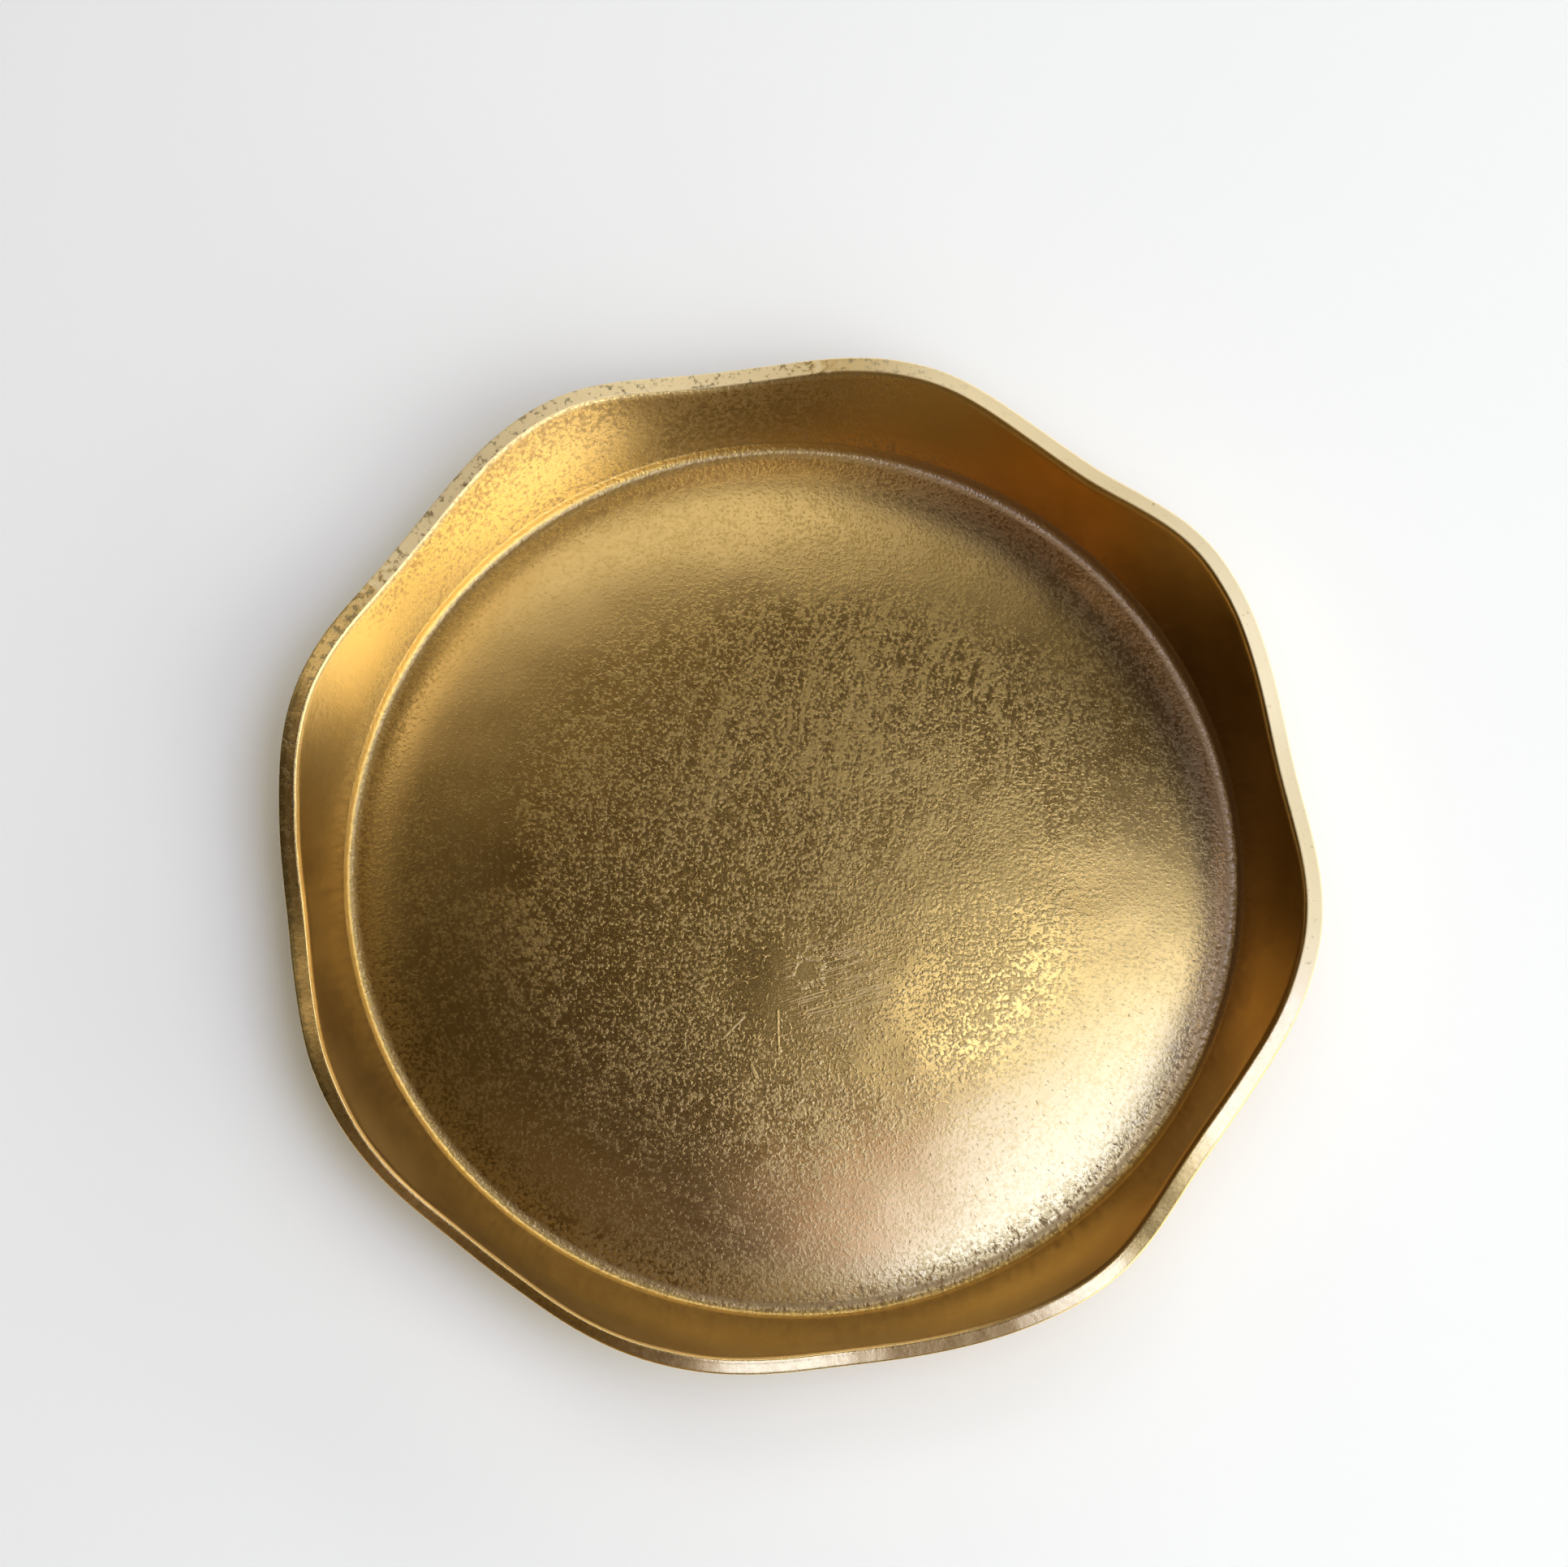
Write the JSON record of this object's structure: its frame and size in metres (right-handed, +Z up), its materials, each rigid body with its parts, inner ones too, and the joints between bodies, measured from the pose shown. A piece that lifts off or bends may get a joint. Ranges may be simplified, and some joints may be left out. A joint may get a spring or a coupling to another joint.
{
  "type": "brass tray",
  "caption": "Round cast brass tray with a crowned floor, a flared wall, a wavy hand-formed rim with a rounded lip and felt foot pads, for serving or display.",
  "frame": {"origin": "on the table, under the middle of the tray", "axes": "+Z up out of the tray's open side, +Y towards the top of the picture, +X towards its right"},
  "size_m": [0.3003, 0.3005, 0.0364],
  "materials": {
    "brass": "sand-cast, half buffed floor with matt grain, brushed wall, burnished lip",
    "felt": "pressed wool felt"
  },
  "bodies": {
    "root": {"tray_casting": "brass", "foot_pad_1": "felt", "foot_pad_2": "felt", "foot_pad_3": "felt", "foot_pad_4": "felt"}
  },
  "joints": []
}
